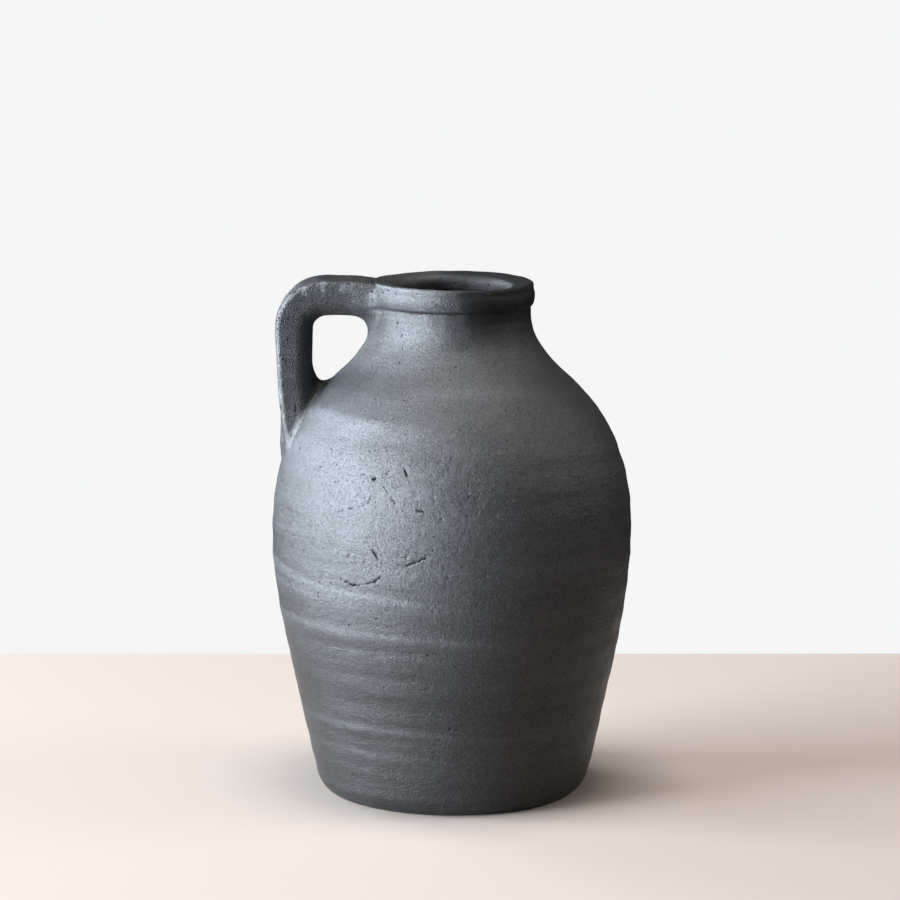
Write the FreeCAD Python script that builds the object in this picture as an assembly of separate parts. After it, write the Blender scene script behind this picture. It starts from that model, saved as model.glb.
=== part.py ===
import FreeCAD
import Part
import os

# One-handled jug of reduction-fired black clay, as the separate clay pieces that the potter makes
# and lutes together: a slab floor, two wall sections, a neck collar, a rim coil, and a handle of
# three pieces. The foot stands on z = 0, the axis of the body is Z, and the handle is towards -X.
# All sizes are millimetres. Wall sections meet on bevelled seams that rise towards the inside.

V = FreeCAD.Vector
AXIS_BASE = V(0, 0, 0)
UP = V(0, 0, 1)
ACROSS = V(0, 1, 0)
OUTWARD = V(-1, 0, 0)
FULL_TURN = 360.0
QUARTER_TURN = 90.0

# Body, outside: height and radius of each station of the thrown wall.
RIM_HEIGHT = 300.0
FOOT_RADIUS = 71.0
FOOT_ROUND_RADIUS = 76.6
FOOT_ROUND_HEIGHT = 3.4
FOOT_TOP_HEIGHT = 9.5
FOOT_TOP_RADIUS = 79.6
BELLY_HEIGHT = 150.0
BELLY_RADIUS = 104.8
NECK_HEIGHT = 283.0
NECK_RADIUS = 45.2
OUTER_STATIONS = [
    (FOOT_TOP_HEIGHT, FOOT_TOP_RADIUS),
    (30.0, 84.4),
    (60.0, 90.9),
    (105.0, 100.3),
    (BELLY_HEIGHT, BELLY_RADIUS),
    (186.0, 102.0),
    (213.0, 92.8),
    (240.0, 72.6),
    (258.0, 54.4),
    (270.0, 47.4),
    (NECK_HEIGHT, NECK_RADIUS),
]

# Body, inside: the same for the hollow, which gives a wall 9 to 10 mm thick.
FLOOR_THICKNESS = 10.0
FLOOR_FLAT_RADIUS = 56.0
MOUTH_RADIUS = 34.2
INNER_STATIONS = [
    (FLOOR_THICKNESS, FLOOR_FLAT_RADIUS),
    (14.5, 68.0),
    (30.0, 74.4),
    (60.0, 81.0),
    (105.0, 90.6),
    (BELLY_HEIGHT, 95.4),
    (186.0, 92.0),
    (213.0, 82.0),
    (240.0, 60.0),
    (258.0, 42.6),
    (270.0, 36.6),
    (NECK_HEIGHT, MOUTH_RADIUS),
]

# Seams between the wall pieces: height of each at the outside and at the inside.
SEAM_RISE = 3.0
FLOOR_SEAM = (FOOT_TOP_HEIGHT, 13.5)
BELLY_SEAM = (128.0, 128.0 + SEAM_RISE)
COLLAR_SEAM = (258.0, 258.0 + SEAM_RISE)
RIM_SEAM = (NECK_HEIGHT, NECK_HEIGHT)

# Rim coil: a band that stands proud of the neck, with a broad lip that falls towards the mouth.
# Each arc is three points of radius and height.
BAND_RADIUS = 47.5
BAND_LOW_HEIGHT = 289.5
BAND_HIGH_RADIUS = 47.2
BAND_HIGH_HEIGHT = 297.4
LIP_EDGE_RADIUS = 45.2
LIP_INNER_RADIUS = 35.8
LIP_INNER_HEIGHT = 298.4
MOUTH_EDGE_RADIUS = 33.4
MOUTH_EDGE_HEIGHT = 295.4
GROOVE_ARC = [(NECK_RADIUS, NECK_HEIGHT), (45.9, 286.0), (BAND_RADIUS, BAND_LOW_HEIGHT)]
BAND_ARC = [(BAND_RADIUS, BAND_LOW_HEIGHT), (47.8, 293.5), (BAND_HIGH_RADIUS, BAND_HIGH_HEIGHT)]
EDGE_ARC = [(BAND_HIGH_RADIUS, BAND_HIGH_HEIGHT), (46.7, 299.2), (LIP_EDGE_RADIUS, RIM_HEIGHT)]
MOUTH_ARC = [
    (LIP_INNER_RADIUS, LIP_INNER_HEIGHT),
    (34.0, 297.4),
    (MOUTH_EDGE_RADIUS, MOUTH_EDGE_HEIGHT),
]

# Handle: a pulled strap of rounded rectangular section.
STRAP_THICKNESS = 21.4
STRAP_WIDTH = 30.0
STRAP_CORNER = 7.0
STRAP_TOP = 302.0
STRAP_OUTER_FACE = 102.3
STRAP_BEND_RADIUS = 18.3
STRAP_START = 58.0
STRAP_END_HEIGHT = 250.0

# Handle root, from the strap back to the rim: (distance from the axis, width, thickness, top height).
ROOT_SECTIONS = [
    (STRAP_START, STRAP_WIDTH, STRAP_THICKNESS, STRAP_TOP),
    (50.5, 32.5, 22.6, 301.4),
    (42.0, 41.0, 26.0, 300.2),
]
ROOT_CORNER = 8.0

# Handle tail, from the strap down onto the shoulder: (height, width, outer face, inner face).
STRAP_INNER_FACE = STRAP_OUTER_FACE - STRAP_THICKNESS
TAIL_SECTIONS = [
    (STRAP_END_HEIGHT, STRAP_WIDTH, STRAP_OUTER_FACE, STRAP_INNER_FACE),
    (240.0, 30.8, 102.0, 73.5),
    (226.0, 33.5, 100.6, 72.0),
    (207.0, 38.0, 98.6, 72.0),
]
RIM_CLEARANCE_HEIGHT = 20.0


def line(start, end):
    """A straight edge."""
    return Part.LineSegment(start, end).toShape()


def arc(start, middle, end):
    """A circular edge through three points."""
    return Part.Arc(start, middle, end).toShape()


def at(radius, height):
    """A point of the section plane of the body."""
    return V(radius, 0, height)


def profile(stations):
    """A smooth curve through stations of height and radius."""
    curve = Part.BSplineCurve()
    curve.interpolate([at(radius, height) for height, radius in stations])
    return curve


def parameter_at_height(curve, height):
    """Where a rising profile curve passes a height, by bisection."""
    low = curve.FirstParameter
    high = curve.LastParameter
    for _ in range(60):
        middle = (low + high) / 2
        if curve.value(middle).z < height:
            low = middle
        else:
            high = middle
    return (low + high) / 2


def stretch(curve, low_height, high_height):
    """The edge of a profile curve between two heights, with its lower and upper end points."""
    low = parameter_at_height(curve, low_height)
    high = parameter_at_height(curve, high_height)
    return curve.toShape(low, high), curve.value(low), curve.value(high)


def revolved(edges):
    """The solid that a closed outline in the section plane sweeps round the axis."""
    outline = Part.Wire(Part.__sortEdges__(edges))
    return Part.Face(outline).revolve(AXIS_BASE, UP, FULL_TURN)


OUTER = profile(OUTER_STATIONS)
INNER = profile(INNER_STATIONS)


def foot_edges():
    """The underside and the rounded foot, from the axis to the top of the foot."""
    contact = at(FOOT_RADIUS, 0)
    rounding = at(FOOT_ROUND_RADIUS, FOOT_ROUND_HEIGHT)
    top = at(FOOT_TOP_RADIUS, FOOT_TOP_HEIGHT)
    return [line(AXIS_BASE, contact), arc(contact, rounding, top)]


def section_arc(points):
    """An arc of the section plane through three points of radius and height."""
    return arc(*[at(radius, height) for radius, height in points])


def band_edges():
    """The outside of the rim coil, from the neck up to the outer edge of the lip."""
    return [section_arc(GROOVE_ARC), section_arc(BAND_ARC), section_arc(EDGE_ARC)]


def make_floor():
    """The slab floor with its rounded foot and the fillet that runs up inside the wall."""
    outer_seam, inner_seam = FLOOR_SEAM
    floor_curve, floor_edge, seam_inside = stretch(INNER, FLOOR_THICKNESS, inner_seam)
    floor_centre = V(0, 0, FLOOR_THICKNESS)
    seam_outside = at(FOOT_TOP_RADIUS, outer_seam)
    edges = foot_edges() + [
        line(seam_outside, seam_inside),
        floor_curve,
        line(floor_edge, floor_centre),
        line(floor_centre, AXIS_BASE),
    ]
    return revolved(edges)


def make_wall(low_seam, high_seam):
    """One thrown ring of the wall between two seams."""
    outside, outside_low, outside_high = stretch(OUTER, low_seam[0], high_seam[0])
    inside, inside_low, inside_high = stretch(INNER, low_seam[1], high_seam[1])
    edges = [
        outside,
        line(outside_high, inside_high),
        inside,
        line(inside_low, outside_low),
    ]
    return revolved(edges)


def make_rim():
    """The rim coil, luted on the flat top of the neck collar."""
    lip_outer = at(LIP_EDGE_RADIUS, RIM_HEIGHT)
    lip_inner = at(LIP_INNER_RADIUS, LIP_INNER_HEIGHT)
    mouth_edge = at(MOUTH_EDGE_RADIUS, MOUTH_EDGE_HEIGHT)
    seam_inside = at(MOUTH_RADIUS, NECK_HEIGHT)
    seam_outside = at(NECK_RADIUS, NECK_HEIGHT)
    edges = band_edges() + [
        line(lip_outer, lip_inner),
        section_arc(MOUTH_ARC),
        line(mouth_edge, seam_inside),
        line(seam_inside, seam_outside),
    ]
    return revolved(edges)


def make_filled_body():
    """The body without its hollow, carried up past the rim. The handle's ends are cut to it."""
    lip_outer = at(LIP_EDGE_RADIUS, RIM_HEIGHT)
    above_edge = at(LIP_EDGE_RADIUS, RIM_HEIGHT + RIM_CLEARANCE_HEIGHT)
    above_centre = V(0, 0, RIM_HEIGHT + RIM_CLEARANCE_HEIGHT)
    edges = foot_edges() + [OUTER.toShape()] + band_edges() + [
        line(lip_outer, above_edge),
        line(above_edge, above_centre),
        line(above_centre, AXIS_BASE),
    ]
    return revolved(edges)


def rounded_section(centre, across, along, width, thickness, corner):
    """A closed rounded rectangle: width lies along `across`, thickness along `along`."""
    half_width = width / 2
    half_thickness = thickness / 2
    bevel = corner * (1 - 0.5**0.5)

    def point(w, t):
        return centre + across * w + along * t

    edges = []
    for sign_w, sign_t in [(1, 1), (-1, 1), (-1, -1), (1, -1)]:
        side = point(sign_w * half_width, sign_t * (half_thickness - corner))
        middle = point(sign_w * (half_width - bevel), sign_t * (half_thickness - bevel))
        end = point(sign_w * (half_width - corner), sign_t * half_thickness)
        edges.append(arc(side, middle, end))
        if sign_w == sign_t:
            straight_end = point(-sign_w * (half_width - corner), sign_t * half_thickness)
            edges.append(line(end, straight_end))
        else:
            straight_end = point(sign_w * half_width, -sign_t * (half_thickness - corner))
            edges.append(line(side, straight_end))
    return Part.Wire(Part.__sortEdges__(edges))


def make_strap():
    """The strap: straight off the root, one bend of a quarter turn, straight down."""
    middle_height = STRAP_TOP - STRAP_THICKNESS / 2
    middle_distance = STRAP_OUTER_FACE - STRAP_THICKNESS / 2
    bend_distance = middle_distance - STRAP_BEND_RADIUS
    bend_centre = V(-bend_distance, 0, middle_height - STRAP_BEND_RADIUS)

    start = V(-STRAP_START, 0, middle_height)
    first = Part.Face(rounded_section(start, ACROSS, UP, STRAP_WIDTH, STRAP_THICKNESS, STRAP_CORNER))
    top_run = first.extrude(OUTWARD * (bend_distance - STRAP_START))

    bend_start = V(-bend_distance, 0, middle_height)
    second = Part.Face(rounded_section(bend_start, ACROSS, UP, STRAP_WIDTH, STRAP_THICKNESS, STRAP_CORNER))
    bend = second.revolve(bend_centre, -ACROSS, QUARTER_TURN)

    bend_end = V(-middle_distance, 0, bend_centre.z)
    third = Part.Face(rounded_section(bend_end, ACROSS, OUTWARD, STRAP_WIDTH, STRAP_THICKNESS, STRAP_CORNER))
    side_run = third.extrude(UP * (STRAP_END_HEIGHT - bend_centre.z))

    return top_run.fuse([bend, side_run]).removeSplitter()


def make_root(filled_body):
    """The flared lump on the rim that the strap is pulled from."""
    sections = []
    for distance, width, thickness, top in ROOT_SECTIONS:
        centre = V(-distance, 0, top - thickness / 2)
        corner = STRAP_CORNER if distance == STRAP_START else ROOT_CORNER
        sections.append(rounded_section(centre, ACROSS, UP, width, thickness, corner))
    return Part.makeLoft(sections, True, False).cut(filled_body)


def make_tail(filled_body):
    """The lower end of the handle, pressed and wiped onto the shoulder."""
    sections = []
    for height, width, outer_face, inner_face in TAIL_SECTIONS:
        centre = V(-(outer_face + inner_face) / 2, 0, height)
        thickness = outer_face - inner_face
        sections.append(rounded_section(centre, ACROSS, OUTWARD, width, thickness, STRAP_CORNER))
    return Part.makeLoft(sections, True, False).cut(filled_body)


def largest_solid(shape):
    """The main solid of a cut, without any sliver that the cut leaves on its far side."""
    return max(shape.Solids, key=lambda solid: solid.Volume)


def main():
    filled_body = make_filled_body()
    pieces = {
        "floor_slab": make_floor(),
        "lower_wall": make_wall(FLOOR_SEAM, BELLY_SEAM),
        "shoulder_wall": make_wall(BELLY_SEAM, COLLAR_SEAM),
        "neck_collar": make_wall(COLLAR_SEAM, RIM_SEAM),
        "rim_coil": make_rim(),
        "handle_root": make_root(filled_body),
        "handle_strap": make_strap(),
        "handle_tail": make_tail(filled_body),
    }
    os.makedirs("parts", exist_ok=True)
    total = 0.0
    for name, shape in pieces.items():
        solid = largest_solid(shape)
        solid.exportStep(f"parts/{name}.step")
        total += solid.Volume
        print(f"{name}: {solid.Volume / 1000:.1f} cm3, valid {solid.isValid()}")
    print(f"clay in all: {total / 1000:.1f} cm3")


main()
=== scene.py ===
import math
from itertools import product

import bmesh
import bpy
import numpy as np
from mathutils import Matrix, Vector


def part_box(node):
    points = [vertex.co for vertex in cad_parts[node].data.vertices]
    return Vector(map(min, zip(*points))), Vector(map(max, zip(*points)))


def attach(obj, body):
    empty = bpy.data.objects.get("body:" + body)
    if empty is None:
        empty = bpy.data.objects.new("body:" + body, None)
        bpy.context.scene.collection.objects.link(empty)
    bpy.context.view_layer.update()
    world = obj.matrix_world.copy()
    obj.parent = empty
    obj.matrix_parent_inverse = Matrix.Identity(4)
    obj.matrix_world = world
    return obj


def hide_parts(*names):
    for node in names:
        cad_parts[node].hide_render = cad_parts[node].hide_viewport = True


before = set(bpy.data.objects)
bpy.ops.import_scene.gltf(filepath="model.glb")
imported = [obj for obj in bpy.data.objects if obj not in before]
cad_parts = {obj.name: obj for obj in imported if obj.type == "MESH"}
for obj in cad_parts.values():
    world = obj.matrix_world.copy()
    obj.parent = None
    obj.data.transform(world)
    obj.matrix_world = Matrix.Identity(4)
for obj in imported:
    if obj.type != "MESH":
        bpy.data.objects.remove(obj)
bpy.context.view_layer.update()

# Lengths in this script are millimetres until a mesh is made. Azimuth is in degrees about +Z from
# +X: the handle is at 180, and the camera looks at the side at -90.
MM = 0.001
WALLS = ("lower_wall", "shoulder_wall", "neck_collar")
rng = np.random.default_rng(41)


# ---------------- numbers read from the CAD frame
def cad_points(node):
    """The vertices of a CAD node, in millimetres."""
    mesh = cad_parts[node].data
    flat = np.empty(len(mesh.vertices) * 3)
    mesh.vertices.foreach_get("co", flat)
    return flat.reshape(-1, 3) / MM


def top_of(node):
    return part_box(node)[1].z / MM


FLOOR_SEAM_RISE = 4.0
FOOT_TOP = top_of("floor_slab") - FLOOR_SEAM_RISE
BELLY_SEAM_IN = top_of("lower_wall")
BELLY_SEAM_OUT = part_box("shoulder_wall")[0].z / MM
COLLAR_SEAM_IN = top_of("shoulder_wall")
COLLAR_SEAM_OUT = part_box("neck_collar")[0].z / MM
SEAM_BANDS = (
    (FOOT_TOP, FOOT_TOP + FLOOR_SEAM_RISE),
    (BELLY_SEAM_OUT, BELLY_SEAM_IN),
    (COLLAR_SEAM_OUT, COLLAR_SEAM_IN),
)
LEVEL_REACH = 5.0


def wall_line(outside):
    """Heights and radii along one face of the CAD wall, from the foot to the neck."""
    points = np.vstack([cad_points(node) for node in WALLS])
    radius = np.hypot(points[:, 0], points[:, 1])
    height = points[:, 2]
    levels = np.arange(height.min(), height.max() + 1.0)
    near = [radius[np.abs(height - level) < LEVEL_REACH] for level in levels]
    middle = np.interp(height, levels, [(some.max() + some.min()) / 2 for some in near])
    chosen = radius > middle if outside else radius < middle
    for low, high in SEAM_BANDS:
        chosen &= (height < low + 0.1) | (height > high - 0.1)
    order = np.argsort(height[chosen])
    return height[chosen][order], radius[chosen][order]


RIM_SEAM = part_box("rim_coil")[0].z / MM
RIM_TOP = top_of("rim_coil")
BAND_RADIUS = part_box("rim_coil")[1].x / MM
ROOT_START = -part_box("handle_root")[0].x / MM
STRAP_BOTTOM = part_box("handle_strap")[0].z / MM
STRAP_FACE = -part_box("handle_strap")[0].x / MM
STRAP_TOP = top_of("handle_strap")
STRAP_HALF_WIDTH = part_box("handle_strap")[1].y / MM


# ---------------- small numeric tools
def smoothstep(low, high, x):
    t = np.clip((x - low) / (high - low), 0.0, 1.0)
    return t * t * (3.0 - 2.0 * t)


def plateau(rise_from, rise_to, fall_from, fall_to, x):
    """Up smoothly from 0 to 1, and down again further along."""
    return smoothstep(rise_from, rise_to, x) * (1.0 - smoothstep(fall_from, fall_to, x))


def gaussian(x, width):
    return np.exp(-((x / width) ** 2))


def unit(vectors, smallest=1e-9):
    """Rows of vectors brought to length one."""
    return vectors / np.maximum(np.linalg.norm(vectors, axis=1, keepdims=True), smallest)


def turn_from(degrees, centre):
    """Angle from a direction, -180 to 180."""
    return (degrees - centre + 180.0) % 360.0 - 180.0


GRADIENTS = unit(rng.normal(size=(256, 3)).astype(np.float32))
SHUFFLE = rng.permutation(256)


def noise(points, size, shift=0.0):
    """Gradient noise, about -1 to 1. size is one length or three, the span of a lump on each axis."""
    p = (points / np.asarray(size, float) + shift + 1000.0).astype(np.float32)
    cell = np.floor(p).astype(np.int64)
    part = p - cell
    fade = part * part * part * (part * (part * 6.0 - 15.0) + 10.0)
    total = np.zeros(p.shape[:-1], np.float32)
    for corner in product((0, 1), repeat=3):
        c = cell + np.array(corner)
        pick = SHUFFLE[(c[..., 0] + SHUFFLE[(c[..., 1] + SHUFFLE[c[..., 2] & 255]) & 255]) & 255]
        away = part - np.array(corner, np.float32)
        value = np.einsum("...k,...k->...", GRADIENTS[pick], away)
        for axis in range(3):
            value = value * (fade[..., axis] if corner[axis] else 1.0 - fade[..., axis])
        total += value
    return total * 1.6


def catmull(points, per_span):
    """A smooth line through points."""
    points = np.asarray(points, float)
    ends = np.vstack([2 * points[0] - points[1], points, 2 * points[-1] - points[-2]])
    t = np.linspace(0.0, 1.0, per_span, endpoint=False)[:, None]
    rows = []
    for a, b, c, d in zip(ends, ends[1:], ends[2:], ends[3:]):
        rows.append(0.5 * (2 * b + (c - a) * t + (2 * a - 5 * b + 4 * c - d) * t**2
                           + (3 * b - a - 3 * c + d) * t**3))
    return np.vstack(rows + [points[-1:]])


def blur_line(values, sigma):
    """Gaussian blur along the first axis of evenly spaced values, with the ends held."""
    reach = int(4 * sigma) + 1
    kernel = np.exp(-0.5 * (np.arange(-reach, reach + 1) / sigma) ** 2)
    kernel /= kernel.sum()
    before = 2 * values[0] - values[1:reach + 1][::-1]
    after = 2 * values[-1] - values[-reach - 1:-1][::-1]
    padded = np.vstack([before, values, after])
    return np.stack([np.convolve(padded[:, k], kernel, "valid") for k in range(values.shape[1])], 1)


# ---------------- the wall's section, axis to axis
SECTION_STEP = 0.25

# The rim band, as distance in from its widest and depth below the top; then the mouth, as radius and
# depth below the top.
BAND_OUTLINE = ((1.2, 12.8), (0.5, 10.8), (0.15, 8.6), (0.2, 6.0), (0.75, 3.8), (0.7, 2.2),
                (0.8, 1.0), (1.2, 0.3), (2.2, 0.05))
MOUTH_OUTLINE = ((42.0, 0.5), (39.0, 1.0), (36.6, 1.4), (34.9, 2.1), (33.8, 3.5), (33.4, 5.4),
                 (33.6, 9.0), (34.0, 14.0))


def make_section():
    """Radius and height along the section: under the foot, up the outside, over the lip, down inside."""
    outer_z, outer_r = wall_line(True)
    inner_z, inner_r = wall_line(False)
    up = np.arange(FOOT_TOP + 1.5, RIM_SEAM - 1.0, 1.0)
    down = np.arange(RIM_SEAM - 2.0, FOOT_TOP + 6.0, -1.0)
    under = [(0.0, 0.8), (30.0, 0.8), (56.0, 0.7), (66.0, 0.3), (70.5, 0.0)]
    foot = [(72.6, 0.25), (75.2, 1.9), (77.4, 4.6), (78.9, 7.6)]
    neck = np.interp(RIM_SEAM, outer_z, outer_r)
    rim = [(neck, RIM_SEAM), (neck + 0.05, RIM_TOP - 14.4)]
    rim += [(BAND_RADIUS - inset, RIM_TOP - depth) for inset, depth in BAND_OUTLINE]
    rim += [(radius, RIM_TOP - depth) for radius, depth in MOUTH_OUTLINE]
    floor = [(68.0, 14.5), (63.5, 12.0), (57.0, 10.3), (50.0, 10.0), (25.0, 10.0), (0.0, 10.0)]
    line = np.vstack([
        catmull(under + foot + [(np.interp(FOOT_TOP, outer_z, outer_r), FOOT_TOP)], 12),
        np.stack([np.interp(up, outer_z, outer_r), up], 1),
        catmull(rim, 10),
        np.stack([np.interp(down, inner_z, inner_r), down], 1),
        catmull(floor, 12),
    ])
    along = np.concatenate([[0.0], np.cumsum(np.linalg.norm(np.diff(line, axis=0), axis=1))])
    even = np.arange(0.0, along[-1], SECTION_STEP)
    line = np.stack([np.interp(even, along, line[:, k]) for k in range(2)], 1)
    soft = blur_line(line, 0.9 / SECTION_STEP)
    crisp = blur_line(line, 0.6 / SECTION_STEP)
    at_rim = smoothstep(RIM_SEAM - 1.0, RIM_SEAM + 1.0, line[:, 1:])
    return even, soft + (crisp - soft) * at_rim


section_s, section = make_section()
tangent = unit(np.gradient(section, axis=0))
section_normal = np.stack([tangent[:, 1], -tangent[:, 0]], 1)
LIP_INDEX = int(np.argmax(section[:, 1]))
FOOT_INDEX = int(np.argmax(section[:, 0] > 70.0))
OUTSIDE_RUN = slice(FOOT_INDEX, LIP_INDEX)


def outer_at(height):
    """Distance along the section where the outside passes a height."""
    return float(np.interp(height, section[OUTSIDE_RUN, 1], section_s[OUTSIDE_RUN]))


def inner_at(height):
    """Distance along the section where the inside passes a height."""
    inside = (section_s > section_s[LIP_INDEX] + 15.0) & (section[:, 1] > 10.5)
    return float(np.interp(height, section[inside, 1][::-1], section_s[inside][::-1]))


# ---------------- rows and columns of the body mesh
COLUMNS = 640
FINE_FROM, FINE_TO = -168.0, -62.0
FINE_FADE = 10.0
FINE_DENSITY = 2.4
FIRST_ROW = 2.0


def column_azimuths():
    """Azimuths of the columns, from -270 to 90, closer together on the side that the camera sees."""
    degrees = np.linspace(-270.0, 90.0, 7201)
    closer = plateau(FINE_FROM - FINE_FADE, FINE_FROM + FINE_FADE,
                     FINE_TO - FINE_FADE, FINE_TO + FINE_FADE, degrees)
    density = 1.0 + (FINE_DENSITY - 1.0) * closer
    spread = np.concatenate([[0.0], np.cumsum((density[1:] + density[:-1]) / 2)])
    return np.interp(np.arange(COLUMNS) / COLUMNS * spread[-1], spread, degrees)


azimuth = column_azimuths()
angle = np.radians(azimuth)

# Places along the section, and the runs of rows between them: from, to, spacing, and how many
# columns share one vertex.
PLACES = {
    "axis": 0.0,
    "under": section_s[FOOT_INDEX] - 8.0,
    "foot": outer_at(0.6),
    "floor_seam": outer_at(FOOT_TOP),
    "lower_middle": outer_at(96.0),
    "belly_seam": outer_at(BELLY_SEAM_OUT),
    "belly_top": outer_at(216.0),
    "collar_seam": outer_at(COLLAR_SEAM_OUT),
    "rim_seam": outer_at(RIM_SEAM),
    "mouth": inner_at(RIM_TOP - 6.0),
    "rim_seam_in": inner_at(RIM_SEAM),
    "collar_seam_in": inner_at(COLLAR_SEAM_IN),
    "belly_seam_in": inner_at(BELLY_SEAM_IN),
    "floor_seam_in": inner_at(FOOT_TOP + FLOOR_SEAM_RISE),
    "floor_flat": section_s[-1] - 52.0,
    "end": section_s[-1] - 2.0,
}
RUNS = (
    ("axis", "under", 9.0, 8),
    ("under", "foot", 1.6, 2),
    ("foot", "floor_seam", 0.8, 1),
    ("floor_seam", "lower_middle", 1.15, 1),
    ("lower_middle", "belly_seam", 0.8, 1),
    ("belly_seam", "belly_top", 0.68, 1),
    ("belly_top", "collar_seam", 1.35, 1),
    ("collar_seam", "rim_seam", 0.8, 1),
    ("rim_seam", "mouth", 0.5, 1),
    ("mouth", "rim_seam_in", 1.2, 2),
    ("rim_seam_in", "collar_seam_in", 1.8, 2),
    ("collar_seam_in", "belly_seam_in", 4.0, 4),
    ("belly_seam_in", "floor_seam_in", 4.0, 4),
    ("floor_seam_in", "floor_flat", 3.0, 4),
    ("floor_flat", "end", 8.0, 8),
)


def make_rows():
    """Distance along the section of every row, and how many columns share one vertex in it."""
    places = []
    steps = []
    for start, end, spacing, step in RUNS:
        low, high = PLACES[start], PLACES[end]
        count = max(1, round((high - low) / spacing))
        places += list(low + (high - low) * np.arange(count) / count)
        steps += [step] * count
    places = np.array(places + [PLACES["end"]])
    places[0] = FIRST_ROW
    return places, np.array(steps + [steps[-1]])


row_s, row_step = make_rows()


def row_of(name):
    return int(np.argmin(np.abs(row_s - PLACES[name])))


row_r = np.interp(row_s, section_s, section[:, 0])
row_z = np.interp(row_s, section_s, section[:, 1])
row_n = unit(np.stack([np.interp(row_s, section_s, section_normal[:, k]) for k in range(2)], 1))
outside_rows = (row_s > PLACES["under"]) & (row_s < PLACES["mouth"] + 4.0)
inside_rows = row_s > PLACES["mouth"] + 4.0


# ---------------- relief of the clay
def drift(height):
    """How far the axis of the thrown body wanders, in X and Y."""
    return (0.30 * np.sin(height / 38.0 + 0.9) + 0.14 * np.sin(height / 15.0 + 2.0),
            0.30 * np.sin(height / 44.0 + 2.6) + 0.12 * np.sin(height / 17.0))


def body_form(points, height, degrees):
    """Slow unevenness of the outside: lumps, an oval, and the throwing rings."""
    turn = np.radians(degrees)
    on_wall = plateau(2.0, 14.0, 276.0, 284.0, height)
    lumps = 0.42 * noise(points, 62.0) + 0.16 * noise(points, 23.0, 5.3)
    oval = 0.25 * np.cos(2 * turn + 0.8 + height / 90.0)
    wandering = height + 5.0 * degrees / 360.0 + 2.2 * noise(points, (90.0, 90.0, 60.0), 3.1)
    strength = np.clip(0.55 + 0.9 * noise(points, (70.0, 70.0, 26.0), 9.7), 0.0, 1.3)
    rings = 0.17 * strength * np.sin(wandering * 2 * math.pi / 17.0)
    rings += 0.10 * noise(points, (80.0, 80.0, 6.5), 1.7)
    return (lumps + oval) * smoothstep(0.0, 8.0, height) + rings * on_wall


def root_swell(height, degrees):
    """Clay smeared down the neck under the handle's root."""
    up_neck = plateau(230.0, 262.0, 272.0, 284.0, height)
    return 1.2 * gaussian(turn_from(degrees, 180.0), 17.0) * up_neck


# Throwing ridges: azimuth and height along the crest, half height of the crest, rise.
RIDGES = (
    (((-176, 50), (-122, 51), (-40, 47)), 2.6, 0.55),
    (((-172, 33), (-132, 35), (-70, 33)), 3.2, 0.38),
    (((-185, 110), (-60, 107)), 2.8, 0.42),
    (((-140, 98), (-80, 97)), 2.6, 0.24),
    (((-195, 144), (-133, 133), (-80, 126)), 3.2, 0.55),
    (((-186, 132), (-100, 123)), 2.8, 0.34),
    (((-84, 151), (-9, 142), (30, 138)), 3.0, 0.20),
    (((-150, 80), (-30, 82)), 3.0, 0.22),
    (((-190, 224), (-150, 230), (-92, 224)), 3.6, 0.55),
    (((-120, 245), (-30, 243)), 2.6, 0.20),
    (((10, 60), (60, 57), (170, 58)), 2.2, 0.45),
    (((20, 120), (80, 117), (150, 123)), 2.2, 0.45),
    (((-10, 176), (50, 171), (120, 178)), 2.4, 0.30),
)


def ridge(path, half_height, rise, points, height, degrees):
    """A raised crest along a path, fading at both ends."""
    stops = np.array(path, float)
    shifted = np.where(degrees < stops[0, 0] - 20.0, degrees + 360.0, degrees)
    crest = np.interp(shifted, stops[:, 0], stops[:, 1])
    crest = crest + 0.5 * noise(points, (28.0, 28.0, 400.0), 4.4)
    ends = plateau(stops[0, 0], stops[0, 0] + 18.0, stops[-1, 0] - 24.0, stops[-1, 0], shifted)
    broken = np.clip(0.85 + 0.5 * noise(points, (22.0, 22.0, 300.0), 7.9), 0.25, 1.3)
    above = height - crest
    shape = np.where(above > 0, gaussian(above, half_height * 0.8), gaussian(above, half_height * 1.5))
    return rise * ends * broken * shape


# The larger cracks and pits on the front: azimuth and height along each, half width, depth.
MARKS = (
    (((-117, 199), (-116, 199)), 1.1, 1.3),
    (((-114, 199), (-110, 190), (-108, 186)), 0.5, 0.55),
    (((-134, 184), (-129, 179), (-119, 184), (-116, 188)), 0.4, 0.45),
    (((-115, 160), (-113, 154)), 0.6, 0.75),
    (((-104, 152), (-98, 157)), 0.6, 0.75),
    (((-127, 141), (-122, 138), (-115, 141), (-112, 145)), 0.6, 0.8),
    (((-106, 205), (-105, 202)), 0.75, 0.8),
    (((-101, 183), (-98, 183)), 0.65, 0.7),
    (((-137, 129), (-136, 126)), 0.6, 0.6),
    (((-135, 280), (-134, 279)), 0.55, 0.6),
    (((-129, 274), (-129, 272)), 0.4, 0.5),
    (((-127, 268), (-125, 265)), 0.35, 0.4),
)


MARK_SCALE = 0.80


def polyline_distance(x, y, line):
    """Distance from points to a line of points, and how far along it the nearest place is, 0 to 1."""
    best = np.full(x.shape, 1e9)
    place = np.zeros(x.shape)
    lengths = np.linalg.norm(np.diff(line, axis=0), axis=1)
    total = max(lengths.sum(), 1e-6)
    done = 0.0
    for (ax, ay), (bx, by), length in zip(line, line[1:], lengths):
        t = ((x - ax) * (bx - ax) + (y - ay) * (by - ay)) / max(length**2, 1e-9)
        t = np.clip(t, 0.0, 1.0)
        d = np.hypot(x - ax - t * (bx - ax), y - ay - t * (by - ay))
        closer = d < best
        best = np.where(closer, d, best)
        place = np.where(closer, (done + t * length) / total, place)
        done += length
    return best, place


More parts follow.
